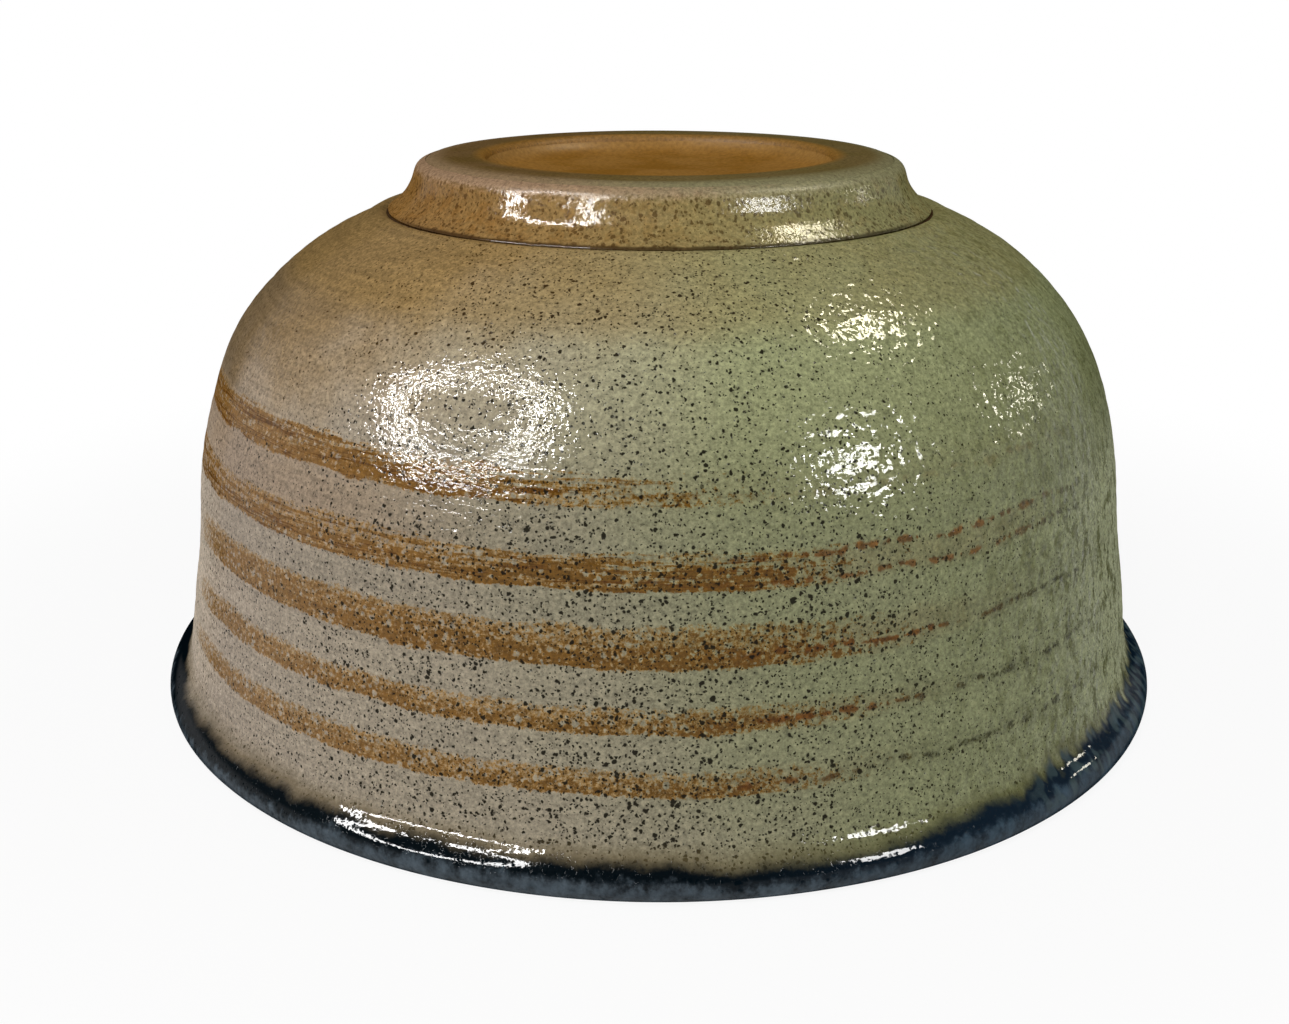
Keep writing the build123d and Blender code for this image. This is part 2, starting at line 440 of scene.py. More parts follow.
class Surface:
    """A material being made, with the fields that place its patterns on the bowl: radius and
    height in mm, and azimuth, side and left in degrees."""

    def __init__(self, name):
        self.material = bpy.data.materials.new(name)
        self.material.use_nodes = True
        self.tree = self.material.node_tree
        self.shader = self.tree.nodes["Principled BSDF"]
        source = make_node(self.tree, "TexCoord")
        inputs = {0: Field(source.outputs["Object"]), "Scale": 1 / MM}
        millimetres = make_node(self.tree, "VectorMath", inputs, operation="SCALE")
        self.place = Field(millimetres.outputs[0])
        split = make_node(self.tree, "SeparateXYZ", {0: self.place})
        x, y, self.height = (Field(output) for output in split.outputs)
        self.radius = number("SQRT", x * x + y * y)
        # Degrees round the bowl from its front, positive to the right
        self.azimuth = number("ARCTAN2", x, y * -1) * degrees(1)
        # The same for colours, brought back to 0 behind the bowl so that both sides meet there
        self.side = self.azimuth * fall(absolute(self.azimuth), 86, 180)
        self.left = self.side * -1

    def facing(self):
        """1 over most of the front and of the back, 0 at both sides."""
        return fall(most(self.side, self.left), 48, 72)

    def finish(self, tint, rough, relief, shine=0.14):
        """Colour, roughness, fine relief in millimetres and strength of gloss go to the shader."""
        attach(self.shader.inputs["Base Color"], tint)
        attach(self.shader.inputs["Roughness"], rough)
        bump = make_node(self.tree, "Bump", {"Distance": MM, "Height": relief})
        attach(self.shader.inputs["Normal"], Field(bump.outputs["Normal"]))
        # The gloss fades towards the outline, which would otherwise mirror the white floor
        weight = make_node(self.tree, "LayerWeight")
        gloss = fall(Field(weight.outputs["Facing"]), 0.3, 0.75) * shine
        attach(self.shader.inputs["Specular IOR Level"], gloss)
        return self.material


def greenness(s):
    """0 where the glaze fired taupe, 1 where it fired green: most of the right side. The border
    leans to the left on its way up to the foot."""
    drift = (noise(s.place, scale=0.045, detail=1.0) - 0.5) * 30
    border = 10 - s.height * 0.45
    return step(s.side - border + drift, -24, 32)


def specks(place, scale, radius, share, dense):
    """Small iron specks: where scattered points lie near the surface, for a share of them."""
    distance, chance, size = cells(place, scale)
    reach = radius * (0.6 + size * 0.8) * dense
    return fall(distance, reach * 0.65, reach) * step(chance, 1 - share, 1.01 - share)


def speckled(place, dense):
    """Iron specks of three sizes with uneven outlines."""
    uneven = shaken(place, scale=2.2, reach=0.5)
    coarse = specks(uneven, scale=1.1, radius=0.21, share=0.35, dense=dense)
    middle = specks(uneven, scale=1.7, radius=0.175, share=0.5, dense=dense)
    small = specks(uneven, scale=3.0, radius=0.11, share=0.55, dense=dense)
    return most(coarse, middle, small)


def pale_spots(place, scale, core, rim, bare):
    """Round spots where the ash glaze has broken over the iron, but for a bare share of them.
    Core and rim are each a least radius, and what the largest spot adds to it."""
    distance, chance, size = cells(place, scale)
    spot = fall(distance, core[0] + size * core[1], rim[0] + size * rim[1])
    return spot * step(chance, bare, bare + 0.05)


# ---------------------------------------------------------------- outer glaze

class Stroke(NamedTuple):
    """One brushed iron stroke. Its heights are its CAD node's, and it begins and ends at
    azimuths in degrees."""

    node: str
    begin: float
    end: float
    strength: float
    fade: float  # strength that is lost past the front
    threads: float  # share of it that is parted into threads
    rows: tuple  # where its rows of dashes lie, as shares of its height
    dash_strength: float


STROKES = (
    Stroke("iron_stroke_1", -100, 2, 1.7, 1.1, 0.45, (0.3,), 0.25),
    Stroke("iron_stroke_2", -92, 14, 1.15, 0.0, 0.4, (0.2, 0.9), 0.9),
    Stroke("iron_stroke_3", -74, 16, 1.1, 0.0, 0.1, (0.35,), 1.0),
    Stroke("iron_stroke_4", -74, 14, 1.0, 0.0, 0.1, (0.4,), 1.0),
    Stroke("iron_stroke_5", -74, 12, 0.95, 0.0, 0.1, (0.4,), 0.95),
)


class FiredGlaze(Surface):
    """The outer coat: taupe to green ash glaze, iron strokes, iron specks and the cobalt lip.
    Each lay method takes the tint so far and gives it back with one more thing on it."""

    def __init__(self):
        super().__init__("fired_glaze")
        self.green = greenness(self)
        self.grain = noise(self.place, scale=2.5, detail=3.0, rough=0.75)
        self.mottle = noise(self.place, scale=1.5, detail=3.0, rough=0.7)
        self.drift = noise(self.place, scale=0.16, detail=1.0)
        self.patches = noise(self.place, scale=2.4, detail=3.0, rough=0.8)

        # Where the clay shows through, near the foot and lower down on the left
        cloud = noise(self.place, scale=0.12, detail=3.0, rough=0.55)
        lower_left = step(self.left, -30, 70) * 9 + step(self.left, 20, 66) * 8
        toward_foot = self.height + (cloud - 0.5) * 16 + lower_left
        self.ochre = step(toward_foot, 48, 66) * (1 - self.green * 0.5)

        # The threads of the brush, and the pieces that its dashes break into
        hair = noise(stretched(self.place, 0.06, 1.0), scale=2.3, detail=2.0, rough=0.6)
        self.hair = step(hair, 0.42, 0.6)
        torn = stretched(shaken(self.place, scale=1.6, reach=0.9), 0.75, 0.3)
        self.pieces = noise(torn, scale=0.95, detail=2.0, rough=0.6)

    def ash(self):
        """Taupe where the ash glaze is thin on the left, green where it is thick on the right, with
        painted light and shade: a pale painted sheen low on both sides, a painted lightening of the
        upper wall and painted shade high on the right.
        """
        taupe = blend(step(self.side, -75, -5), colour(160, 145, 129), colour(141, 132, 113))
        leaf = blend(step(self.side, 10, 70), colour(125, 128, 93), colour(121, 126, 88))
        leaf_with_painted_sheen, taupe_with_painted_sheen = colour(178, 182, 150), colour(200, 186, 168)
        toasted = colour(136, 98, 58)
        lower = fall(self.height, 30, 42)
        belt = step(self.height, 30, 32) * fall(self.height, 36, 41)
        tint = blend(self.green, taupe, leaf)
        # Painted light: the lower wall is made paler towards both sides, a painted sheen that
        # stands in for light from the white floor.
        tint = over(tint, leaf_with_painted_sheen, step(self.side, 44, 70) * lower, 0.9)
        tint = over(tint, taupe_with_painted_sheen, step(self.left, 52, 72) * lower, 0.8)
        # Painted light: the upper wall, towards the foot, is made lighter, as if lit from above.
        tint = lighter(tint, step(self.height, 34, 52), 0.42)
        tint = lighter(tint, step(self.left, -4, 12) * fall(self.height, 21, 28), 0.08)
        # Painted shade: high on the right side the wall is made darker.
        tint = lighter(tint, step(self.side, 22, 58) * step(self.height, 31, 36), -0.16)
        return over(tint, toasted, step(self.left, 10, 40) * belt, 0.3)

    def lay_ochre(self, tint):
        """Ochre near the foot, most on the left, and painted shade high on the left side."""
        toast = blend(step(self.left, 10, 62), colour(154, 126, 78), colour(134, 109, 72))
        green_toast = colour(144, 128, 76)
        painted_shade_brown, bright_ochre = colour(100, 84, 60), colour(146, 116, 62)
        shaded_left_shoulder = step(self.left, 54, 72) * step(self.height, 36, 44)
        tint = over(tint, blend(self.green, toast, green_toast), self.ochre, 0.9)
        # Painted shade: the upper left side is darkened with a dull brown.
        tint = over(tint, painted_shade_brown, shaded_left_shoulder, 0.6)
        return over(tint, bright_ochre, step(self.height, 50, 53), 0.5 - self.green * 0.3)

    def lay_throwing_lines(self, tint):
        """Fine level lines that grow to the left."""
        lines = noise(stretched(self.place, 0.05, 1.6), scale=1.6, detail=2.0, rough=0.6)
        return lighter(tint, (lines - 0.5) * step(self.left, -10, 50), 0.7)

    def lay_smears(self, tint):
        """Dark and pale olive smears that grow to the right."""
        dark_olive, pale_olive = colour(82, 84, 44), colour(148, 152, 112)
        drawn = stretched(shaken(self.place, scale=1.3, reach=0.9), 1.0, 0.6)
        smear = noise(drawn, scale=0.62, detail=4.0, rough=0.75)
        right_side = step(self.side, 15, 55) * (1 - step(self.height, 28, 42) * 0.5)
        streaky = smear + right_side * 0.03
        tint = over(tint, dark_olive, step(streaky, 0.53, 0.62) * right_side, 0.75)
        return over(tint, pale_olive, fall(streaky, 0.42, 0.5) * right_side, 0.45)

    def brushed(self, stroke):
        """How much iron a stroke left: dense below, feathered above and parted into threads."""
        low, high = span(stroke.node)
        across = self.height + (self.mottle - 0.5) * 1.1 + (self.drift - 0.5) * 1.2
        body = step(across, low - 0.1, low + 0.2) * fall(across, high - 0.5, high + 0.8)
        thinning = 0.25 + step(self.azimuth, -50, -10) * 0.25
        weight = 1.1 - step(across, low + (high - low) * 0.1, high) * thinning
        weight = weight - stroke.threads + self.hair * stroke.threads * 1.8
        entry = step(self.azimuth, stroke.begin, stroke.begin + 20)
        uneven = self.azimuth + (self.mottle - 0.5) * 60
        tail = fall(uneven, stroke.end - 6, stroke.end + 8)
        strength = stroke.strength - step(self.azimuth, -35, 0) * stroke.fade
        return body * weight * entry * tail * strength

    def dashes(self, stroke):
        """The broken rows of dashes in which a stroke runs out, with a faint trail under them."""
        low, high = span(stroke.node)
        drop = (self.azimuth - stroke.end) * 0.012
        across = self.height + (self.drift - 0.5) * 1.6 - drop
        rows = []
        for row in stroke.rows:
            away = absolute(across - (low + (high - low) * row))
            rows.append(fall(away - (self.pieces - 0.5) * 1.4, 0.0, 0.42))
        dash = most(*rows) * step(self.pieces, 0.46, 0.52)
        trail = step(across, low - 0.6, low + 0.9) * fall(across, high - 1.2, high + 0.8) * 0.22
        shown = step(self.azimuth, stroke.end - 14, stroke.end - 2) * fall(self.azimuth, 44, 72)
        return most(dash, trail) * shown * stroke.dash_strength

    def lay_strokes(self, tint):
        """Five iron strokes, over which the ash glaze has broken in round spots."""
        bodies = [self.brushed(stroke) for stroke in STROKES]
        iron = most(*bodies)
        uneven = shaken(self.place, scale=1.5, reach=0.5)
        large = pale_spots(uneven, scale=0.85, core=(0.14, 0.14), rim=(0.34, 0.2), bare=0.3)
        uneven = shaken(self.place, scale=2.5, reach=0.4)
        small = pale_spots(uneven, scale=1.6, core=(0.08, 0.08), rim=(0.2, 0.12), bare=0.35)
        rust = iron * (1 - most(large * 0.85, small * 0.7))
        rust = rust + (self.patches - 0.5) * 3.6 * step(iron, 0.05, 0.4)
        pale_rust = blend(self.green, colour(152, 118, 66), colour(124, 104, 54))
        deep_rust = blend(step(self.side, -50, 0), colour(122, 84, 34), colour(98, 66, 14))
        fuller = step(self.azimuth, -60, -15) * 0.15
        tint = over(tint, pale_rust, step(rust, 0.15, 0.6), 0.7 + fuller)
        tint = over(tint, deep_rust, step(rust, 0.55, 1.05), 0.78 + fuller)

        # Dark hairlines where a stroke is parted into threads
        threaded = most(*(body * stroke.threads for body, stroke in zip(bodies, STROKES)))
        drawn = stretched(shaken(self.place, scale=0.5, reach=0.3), 0.035, 1.0)
        away = absolute(noise(drawn, scale=1.5, detail=2.0) - 0.5)
        hairlines = least(fall(away, 0.004, 0.03) * threaded * 2.0, 0.7)
        return blend(hairlines, tint, colour(84, 48, 8))

    def lay_dashes(self, tint):
        """The strokes' dashes, rust coloured at first, then olive and paler."""
        turning = step(self.side - self.height * 1.2, -6, 16)
        dark = blend(turning, colour(94, 54, 4), colour(44, 42, 6))
        broken = 1 - turning * fall(self.patches, 0.44, 0.54) * 0.5
        dashes = most(*(self.dashes(stroke) for stroke in STROKES))
        return over(tint, lighter(dark, self.mottle - 0.5, 2.4), dashes * broken, 0.95)

    def lay_painted_groove_shade(self, tint):
        """A dark line painted where the coat ends in the groove: painted shade of the groove, faded
        out at both sides.
        """
        dark = blend(self.green, colour(70, 46, 20), colour(56, 46, 22))
        edge = fall(self.radius + (self.mottle - 0.5) * 0.8, GROOVE + 0.25, GROOVE + 0.6)
        return over(tint, dark, edge * self.facing(), 0.85)

    def lay_specks(self, tint):
        """Iron specks, browner where the clay shows through. Gives where they are, too."""
        crowd = noise(self.place, scale=0.2, detail=2.0)
        dense = 0.58 + step(crowd, 0.35, 0.65) * 0.25 + step(self.side, -70, -10) * 0.4
        dense = dense - step(self.side, 14, 52) * 0.5 - step(self.height, 32, 40) * 0.18
        dots = speckled(self.place, dense)
        near_black = blend(step(self.side, 10, 50), colour(26, 23, 15), colour(38, 35, 14))
        iron = over(near_black, colour(78, 52, 20), self.ochre, 0.8)
        return over(tint, iron, dots, 0.97), dots

    def lay_cobalt(self, tint):
        """Cobalt over the lip, with a ragged brushed edge and an olive fringe. Gives where it
        is, too."""
        brush = noise(stretched(self.place, 0.8, 0.5), scale=0.75, detail=3.0, rough=0.6)
        scallop = noise(stretched(self.place, 1.0, 0.1), scale=0.22, detail=1.0)
        teeth = noise(stretched(self.place, 1.0, 0.08), scale=0.55, detail=1.0)
        blots = step(self.side, 34, 46)
        limb = step(self.left, 62, 80)

        # Depth in mm under the coat's edge, which reaches higher at both sides
        rise = step(self.side, 20, 32) * 0.7 + step(self.side, 40, 58) * 0.4
        rise = rise + step(self.left, -8, 4) * 0.4 + step(self.left, 16, 50) * 0.25
        ragged = (scallop - 0.5) * 1.6 + (teeth - 0.5) * blots * 3.6
        under = 3.6 + rise + ragged + blots * 0.5 + limb * 1.2 - self.height
        fringe = step(under, -2.2 - step(self.left, 25, 60) * 1.2, 0.1)
        tint = over(tint, blend(self.green, colour(98, 84, 56), colour(84, 82, 48)), fringe, 0.7)

        # Deep blue, worn pale further down, with ash glaze showing in gaps on the right
        cobalt = step(under + (self.mottle - 0.5) * 0.6 + (brush - 0.5) * 0.6, -0.7, 0.5)
        thick = limb * 0.6 + step(self.left, 15, 50) * 0.4
        wear = (self.mottle - 0.5) * 1.2 + (brush - 0.5) * 2.2
        worn = step(under + wear - thick, 0.8, 2.0)
        right = step(self.side, 0, 40)
        deep_blue = blend(right, colour(4, 12, 17), colour(14, 29, 42))
        pale_blue = blend(right, colour(60, 69, 76), colour(42, 57, 68))
        pale_blue = scaled(pale_blue, 1.0 + (brush - 0.5) * 3.0 + (self.mottle - 0.5) * 1.4)
        gaps = step(teeth, 0.52, 0.62) * blots * step(self.height, 1.5, 2.5)
        blue = over(blend(worn, deep_blue, pale_blue), colour(72, 88, 88), gaps, 0.5)
        return blend(cobalt, tint, blue), cobalt

    def peel(self):
        """Fine unevenness of the gloss in mm, coarser on the right and weak on the lip."""
        right = step(self.side, -5, 30)
        fine = noise(stretched(self.place, 0.7, 1.15), scale=1.6, detail=2.0)
        coarse = noise(self.place, scale=0.8, detail=1.0)
        above_lip = 0.2 + step(self.height, 4.0, 6.5) * 0.8
        return (fine * (0.09 - right * 0.03) + coarse * right * 0.22) * above_lip

    def make(self):
        """The finished material, from the ash glaze up to the cobalt."""
        tint = self.ash()
        tint = self.lay_ochre(tint)
        tint = self.lay_throwing_lines(tint)
        tint = self.lay_smears(tint)
        tint = self.lay_strokes(tint)
        tint = self.lay_dashes(tint)
        tint = self.lay_painted_groove_shade(tint)
        tint = scaled(tint, self.grain * 2.0 + self.mottle - 0.5)
        tint, dots = self.lay_specks(tint)
        tint, cobalt = self.lay_cobalt(tint)
        shine = 0.14 - cobalt * 0.04 - dots * 0.1
        return self.finish(tint, 0.045 + dots * 0.1, self.peel() - dots * 0.012, shine)


# ---------------------------------------------------------------- the other glazes, and clay

def amber_glaze():
    """The foot's coat: amber on the left, greener on the right, thickly flecked with brown."""
    s = Surface("amber_glaze")
    grain = noise(s.place, scale=2.5, detail=3.0, rough=0.7)
    cloud = noise(s.place, scale=0.5, detail=3.0, rough=0.6)
    green = step(s.side + (cloud - 0.5) * 60, -30, 44)
    amber = blend(step(s.side, -70, 10), colour(142, 106, 58), colour(146, 120, 74))
    tint = blend(green, amber, colour(134, 130, 86))
    tint = over(tint, colour(132, 92, 40), step(cloud, 0.48, 0.6), 0.5 - green * 0.35)

    # The coat thins out to a pale line where it stops on the rounded edge
    thin = step(s.height + (grain - 0.5) * 1.5, TOP - 1.9, TOP - 0.8)
    tint = over(tint, blend(green, colour(158, 130, 104), colour(136, 132, 98)), thin, 0.8)
    tint = scaled(tint, grain * 2.0)
    flecks = speckled(stretched(s.place, 0.85, 0.7), 1.0 + cloud * 0.3) * (1 - thin * 0.7)
    tint = over(tint, blend(green, colour(74, 46, 16), colour(62, 50, 22)), flecks, 0.72)

    # Painted shade: a dark line where the coat starts in the groove, faded out at both sides
    dark = blend(green, colour(62, 40, 16), colour(50, 42, 20))
    edge = step(s.radius + (cloud - 0.5) * 0.5, GROOVE - 0.4, GROOVE - 0.1)
    tint = over(tint, dark, edge * s.facing(), 0.85)
    coarse = noise(s.place, scale=1.1, detail=1.0) * 0.05
    fine = noise(s.place, scale=2.6, detail=1.0) * (0.015 + green * 0.03)
    return s.finish(tint, 0.11 + thin * 0.25 + green * 0.1, coarse + fine)


def bare_foot():
    """Toasted clay with a thin wash on the standing face, amber again where it dips inward."""
    s = Surface("toasted_clay")
    green = greenness(s)
    grain = noise(s.place, scale=2.2, detail=3.0, rough=0.7)
    cloud = noise(s.place, scale=0.16, detail=3.0)
    outer_edge = step(s.radius, 24.6, 27.6)
    inner_edge = fall(s.radius, 20.8, 22.6)
    wash = blend(green, colour(146, 122, 92), colour(132, 128, 94))
    green_clay, amber, brown = colour(112, 104, 62), colour(148, 106, 46), colour(70, 50, 26)
    tint = blend(step(cloud, 0.35, 0.65), colour(102, 80, 42), colour(110, 86, 52))
    tint = over(tint, green_clay, green, 0.4)
    tint = over(tint, wash, outer_edge, 0.8)
    tint = over(tint, amber, inner_edge, 0.8)
    tint = scaled(tint, 0.3 + grain * 1.4)
    tint = over(tint, brown, speckled(s.place, 0.6), 0.6)
    relief = grain * 0.05 + noise(s.place, scale=0.9) * 0.05
    return s.finish(tint, 0.5, relief, shine=0.08)


def recess_glaze():
    """Amber pooled in the recess, drawn up its wall."""
    s = Surface("pooled_amber")
    grain = noise(s.place, scale=2.0, detail=3.0, rough=0.6)
    cloud = noise(s.place, scale=0.14, detail=3.0)
    tint = blend(step(cloud, 0.35, 0.65), colour(138, 96, 36), colour(150, 108, 50))
    wall = step(s.height, TOP - 2.2, TOP - 0.9)
    tint = over(tint, colour(156, 118, 62), wall, 0.7)
    tint = scaled(tint, 0.5 + grain)
    relief = noise(s.place, scale=0.7, detail=1.0) * 0.04
    return s.finish(tint, 0.4, relief, shine=0.06)


def inner_glaze():
    """The inside: the same ash glaze, quieter, with the cobalt's edge and a pool in the well."""
    s = Surface("inner_ash_glaze")
    grain = noise(s.place, scale=3.0, detail=2.0, rough=0.6)
    cloud = noise(s.place, scale=0.1, detail=3.0)
    tint = blend(greenness(s), colour(160, 148, 128), colour(134, 138, 106))
    pool = step(s.height + (cloud - 0.5) * 8, 46, 56)
    tint = over(tint, colour(126, 132, 96), pool, 0.6)
    tint = scaled(tint, 0.86 + grain * 0.28)
    dots = speckled(s.place, 0.8 + cloud * 0.3)
    tint = over(tint, colour(48, 42, 30), dots, 0.85)
    brush = noise(stretched(s.place, 0.9, 0.16), scale=1.0, detail=2.0, rough=0.6)
    under = 5.4 + (brush - 0.5) * 4 - s.height
    olive, blue = colour(96, 84, 50), colour(28, 38, 56)
    tint = over(tint, olive, step(under, -1.8, 0.1), 0.5)
    tint = blend(step(under, -0.3, 0.4), tint, blue)
    relief = noise(s.place, scale=0.8, detail=1.0) * 0.02 - dots * 0.01
    return s.finish(tint, 0.15 + dots * 0.1, relief)


def clay_body():
    """Bare stoneware, which shows only at the bottom of the groove."""
    s = Surface("stoneware_body")
    grain = noise(s.place, scale=2.5, detail=3.0, rough=0.6)
    tint = blend(step(grain, 0.3, 0.7), colour(52, 38, 24), colour(84, 62, 40))
    return s.finish(tint, 0.7 + grain * 0.1, grain * 0.05)


# ---------------------------------------------------------------- pieces

def build_wall():
    """Inner skin, lip and outer skin: one continuous face, cut into three pieces."""
    inner_face, inner_back = face_and_back("inner_glaze", IN_AND_DOWN, DOWN)
    rim_face, rim_back = face_and_back("rim_glaze", IN, UP)
    outer_face, outer_back = face_and_back("outer_glaze", OUT_AND_DOWN, IN)
    line = Line(np.vstack([inner_face, rim_face[1:], outer_face[1:]]))
    inner_end = line.arc_at(rim_face[0])
    rim_end = line.arc_at(rim_face[-1])
    knots = [0, 12, rim_end - 6, rim_end + 4, line.length - 1.5, line.length]

    def relief(turn, arc):
        """Throwing ridges, slow swells and a wobble, weaker at the lip and none at the ends."""
        rng = np.random.default_rng(7)
        ridges = ripple(rng, turn, arc, length=2.6, lobes=3, waves=14, strength=0.010)
        fine = ripple(rng, turn, arc, length=1.6, lobes=4, waves=12, strength=0.005)
        swell = ripple(rng, turn, arc, length=17.0, lobes=2, waves=8, strength=0.05)
        wobble = ripple(rng, turn, arc, length=6.0, lobes=12, waves=24, strength=0.012)
        fade = np.interp(arc, knots, [0, 1, 0.6, 1, 1, 0])
        return (ridges + fine + swell + wobble) * fade[:, None]

    pieces = {}
    for name, start, end, spacing, columns, back in (
        ("inner_skin", 0.0, inner_end, 0.85, 480, inner_back),
        ("cobalt_lip", inner_end, rim_end, 0.28, 640, rim_back),
        ("outer_skin", rim_end, line.length, 0.52, 640, outer_back),
    ):
        rows = np.linspace(start, end, int((end - start) / spacing) + 2)
        # One row more at each end, so that the pieces' normals agree where they meet
        beyond = np.r_[max(start - spacing, 0), rows, min(end + spacing, line.length)]
        places, normals = grid(line, beyond, columns, relief)
        pieces[name] = shell(name, places[1:-1], normals[1:-1], back, columns)
    return pieces


def build_turned(name, node, first, last, columns, spacing, relief):
    """A piece whose face is one CAD face with its own relief."""
    face, back = face_and_back(node, first, last)
    line = Line(face)
    rows = np.linspace(0, line.length, int(line.length / spacing) + 2)
    places, normals = grid(line, rows, columns, lambda turn, arc: relief(turn, arc, line.length))
    return shell(name, places, normals, back, columns)


def foot_relief(turn, arc, length):
    """A soft edge at the groove, waves up the flank, and a coat that thins out at the top."""
    edge_depth, edge_width = 0.15, 0.5
    thinned, thin_width = 0.34, 1.4
    rng = np.random.default_rng(11)
    waves = ripple(rng, turn, arc, length=4.0, lobes=6, waves=14, strength=0.012)
    edge = -edge_depth * np.exp(-((arc / edge_width) ** 2))
    thinning = -thinned * np.clip((arc - length + thin_width) / thin_width, 0, 1) ** 1.5
    return waves * fade_ends(arc, length, 1.0, 1.0)[:, None] + (edge + thinning)[:, None]


def ring_relief(turn, arc, length):
    """Slight unevenness of the standing face, past the flank that the foot's coat covers."""
    covered, sunk = 7.6, 0.03
    rng = np.random.default_rng(13)
    waves = ripple(rng, turn, arc, length=4.0, lobes=5, waves=14, strength=0.04)
    return waves * fade_ends(arc, length, 1.5, 2.0, start=covered)[:, None] - sunk


def pool_relief(turn, arc, length):
    """A nearly level pool with a few slow waves, raised so that none dips under the clay."""
    raised = 0.03
    rng = np.random.default_rng(17)
    waves = ripple(rng, turn, arc, length=9.0, lobes=4, waves=12, strength=0.018)
    return (waves + raised) * fade_ends(arc, length, 1.5, 6.0)[:, None]


def finish_piece(piece, material, slot, *nodes):
    """A piece gets its material, takes the place of its CAD nodes, which are hidden, and rides on
    the bowl.
    """
    piece.data.materials.append(material)
    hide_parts(*nodes)
    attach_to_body(piece, "root")


# Name, node, where its face begins and ends, columns, mm between rows, relief, material, slot
TURNED_PIECES = (
    ("foot_coat", "foot_glaze", OUT, UP, 480, 0.3, foot_relief, amber_glaze, "amber"),
    ("foot_body", "foot_ring", OUT, IN, 480, 0.4, ring_relief, bare_foot, "clay"),
    ("recess_pool", "recess_glaze", UP, IN_AND_UP, 240, 0.6, pool_relief, recess_glaze, "amber"),
)


def build_object():
    """All that is seen of the bowl. The clay wall keeps its CAD shape."""
    glaze = FiredGlaze().make()
    wall = build_wall()
    strokes = [stroke.node for stroke in STROKES]
    finish_piece(wall["outer_skin"], glaze, "glaze", "outer_glaze", *strokes)
    finish_piece(wall["cobalt_lip"], glaze, "cobalt", "rim_glaze")
    finish_piece(wall["inner_skin"], inner_glaze(), "glaze", "inner_glaze")
    for name, node, first, last, columns, spacing, relief, material, slot in TURNED_PIECES:
        piece = build_turned(name, node, first, last, columns, spacing, relief)
        finish_piece(piece, material(), slot, node)
    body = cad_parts["clay_wall"]
    body.data.materials.clear()
    body.data.materials.append(clay_body())


# ---------------------------------------------------------------- stage, light and camera

WHITE = (1.0, 1.0, 1.0)


class Lamp(NamedTuple):
    """A rectangular lamp, with its direction in degrees, size in metres and brightness."""

    name: str
    azimuth: float
    elevation: float
    width: float
    height: float
    radiance: float
    tint: tuple
    glossy: bool  # it shows in the gloss alone, or else lights the surface alone


LAMPS = (
    Lamp("key", -12, 46, 0.3, 0.3, 8.6, WHITE, False),
    Lamp("left_fill", -80, 8, 0.3, 0.3, 1.6, WHITE, False),
    Lamp("right_fill", 80, 8, 0.3, 0.3, 1.8, WHITE, False),
    Lamp("window", 48, 25, 0.14, 0.12, 86, WHITE, True),
    Lamp("warm_window", 104, 57, 0.13, 0.11, 64, (1.0, 0.93, 0.72), True),
    Lamp("small_window", 103, 18, 0.05, 0.05, 40, (1.0, 0.95, 0.8), True),
)


def emptied_material(name):
    """A new material with no nodes yet, and its tree."""
    material = bpy.data.materials.new(name)
    material.use_nodes = True
    material.node_tree.nodes.clear()
    return material, material.node_tree


def ray_kinds(tree):
    """Whether a ray comes from the eye, from gloss or through something clear."""
    path = make_node(tree, "LightPath")
    names = ("Is Camera Ray", "Is Glossy Ray", "Is Transmission Ray")
    return [Field(path.outputs[name]) for name in names]


def white_floor():
    """White to the eye and in gloss, a plain diffuse floor to the light, clear from below."""
    shading = 0.1  # share of the plain floor, with its shadow, that the eye sees near the bowl
    material, tree = emptied_material("white_floor")
    where = make_node(tree, "TexCoord")
    inputs = {0: Field(where.outputs["Object"])}
    from_axis = make_node(tree, "VectorMath", inputs, operation="LENGTH")
    away = step(Field(from_axis.outputs["Value"]), 0.07, 0.16)
    seen = most(*ray_kinds(tree)) * (1 - shading + away * shading)
    paint = shader(tree, "BsdfDiffuse", {"Color": (0.86, 0.86, 0.86, 1)})
    glow = shader(tree, "Emission", {"Strength": 1.0})
    white = shader(tree, "MixShader", {0: seen, 1: paint, 2: glow})
    side = make_node(tree, "NewGeometry")
    clear = shader(tree, "BsdfTransparent")
    both = {0: Field(side.outputs["Backfacing"]), 1: white, 2: clear}
    make_node(tree, "OutputMaterial", {"Surface": shader(tree, "MixShader", both)})
    return material


def build_floor():
    """A wide floor that keeps the bowl's shadow."""
    mesh = bpy.data.meshes.new("floor")
    reach = 6.0
    z = cad_box[0].z
    corners = [(-reach, -reach, z), (reach, -reach, z), (reach, reach, z), (-reach, reach, z)]
    mesh.from_pydata(corners, [], [(0, 1, 2, 3)])
    mesh.materials.append(white_floor())
    add_object("floor", mesh)


def aim(lamp, azimuth, elevation, distance, target):
    """Sets a lamp at a distance from a target, a height on the bowl's axis, and turns it to face
    there. Its azimuth is 0 at the bowl's front and positive to the right."""
    a, e = radians(azimuth), radians(elevation)
    away = Vector((sin(a) * cos(e), -cos(a) * cos(e), sin(e)))
    lamp.location = Vector((0, 0, target)) + away * distance
    lamp.rotation_mode = "QUATERNION"
    lamp.rotation_quaternion = away.to_track_quat("Z", "Y")
    lamp.visible_camera = False


def area_lamp(spec):
    """A soft lamp, with its brightness as seen from the bowl."""
    data = bpy.data.lights.new(spec.name, "AREA")
    data.shape = "RECTANGLE"
    data.size = spec.width
    data.size_y = spec.height
    data.energy = spec.radiance * spec.width * spec.height * pi
    data.color = spec.tint
    lamp = add_object(spec.name, data)
    aim(lamp, spec.azimuth, spec.elevation, distance=0.6, target=0.035)
    lamp.visible_glossy = spec.glossy
    lamp.visible_diffuse = not spec.glossy


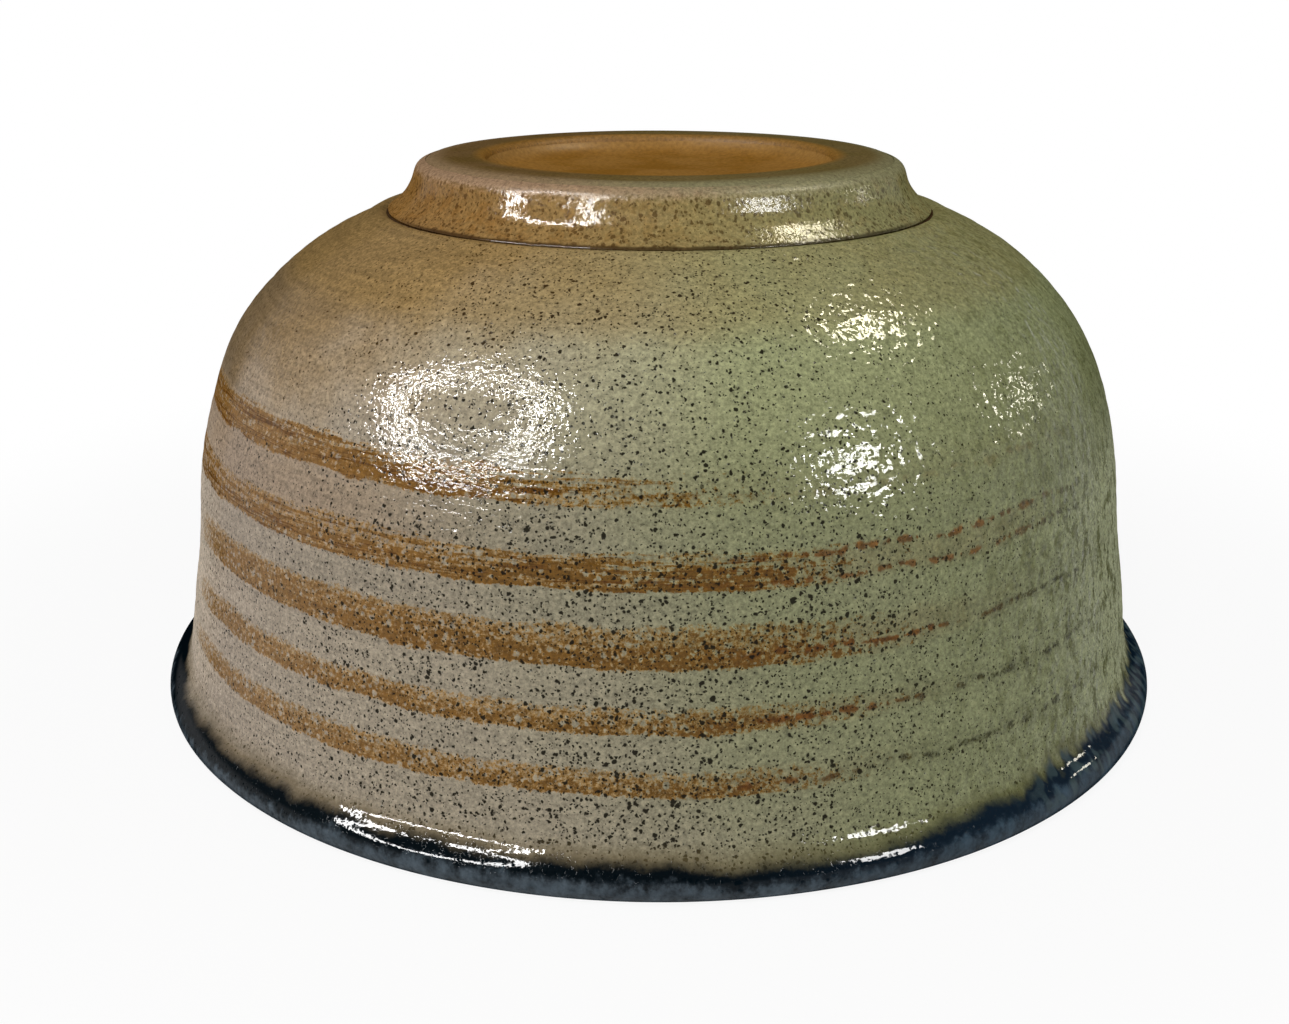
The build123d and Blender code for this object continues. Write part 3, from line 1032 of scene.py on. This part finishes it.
def ring_lamp(azimuth, elevation, distance, inner, outer, radiance):
    """A flat ring that shines towards the bowl and shows only in its gloss."""
    sides = 96
    corners = [
        (radius * cos(turn), radius * sin(turn), 0)
        for radius in (inner, outer)
        for turn in (k * tau / sides for k in range(sides))
    ]
    faces = [(k, (k + 1) % sides, sides + (k + 1) % sides, sides + k) for k in range(sides)]
    mesh = bpy.data.meshes.new("ring_lamp")
    mesh.from_pydata(corners, [], faces)
    material, tree = emptied_material("ring_light")
    glow = shader(tree, "Emission", {"Strength": radiance})
    make_node(tree, "OutputMaterial", {"Surface": glow})
    mesh.materials.append(material)
    lamp = add_object("ring_lamp", mesh)
    aim(lamp, azimuth, elevation, distance, target=0.04)
    lamp.visible_diffuse = False
    lamp.visible_shadow = False


def build_lights():
    """A ring lamp on the left, windows on the right, and soft light from the front and sides."""
    ring_lamp(azimuth=-54, elevation=37, distance=0.5, inner=0.14, outer=0.173, radiance=115)
    for spec in LAMPS:
        area_lamp(spec)


def build_world():
    """Plain dim light all round, with a white backdrop low down for the eye and for gloss."""
    world = bpy.data.worlds.new("studio")
    bpy.context.scene.world = world
    world.use_nodes = True
    tree = world.node_tree
    where = make_node(tree, "TexCoord")
    split = make_node(tree, "SeparateXYZ", {0: Field(where.outputs["Generated"])})
    low = fall(Field(split.outputs[2]), 0.1, 0.3)
    eye, gloss, through = ray_kinds(tree)
    white = most(eye, most(gloss, through) * low)
    dim = (0.18, 0.18, 0.18, 1)
    background = tree.nodes["Background"]
    attach(background.inputs["Color"], blend(white, dim, (*WHITE, 1)))
    background.inputs["Strength"].default_value = 1.0


def build_camera():
    """The photograph's view: low, near and slightly to one side. It was found by a fit to the
    bowl's outline, its foot and its strokes."""
    downward, roll = 19.55, 0.0023  # in degrees, and in radians
    data = bpy.data.cameras.new("camera")
    data.sensor_width = 36
    data.lens = 42.74
    data.shift_x = -0.01125
    data.clip_start = 0.01
    camera = add_object("camera", data)
    camera.location = (0, -0.18615, 0.0842)
    tilt = Euler((radians(90 - downward), 0, 0)).to_matrix()
    camera.rotation_euler = (tilt @ Matrix.Rotation(roll, 3, "Z")).to_euler()
    bpy.context.scene.camera = camera


build_camera()
build_world()
build_lights()
build_floor()
build_object()
bpy.context.scene.view_settings.view_transform = "Standard"
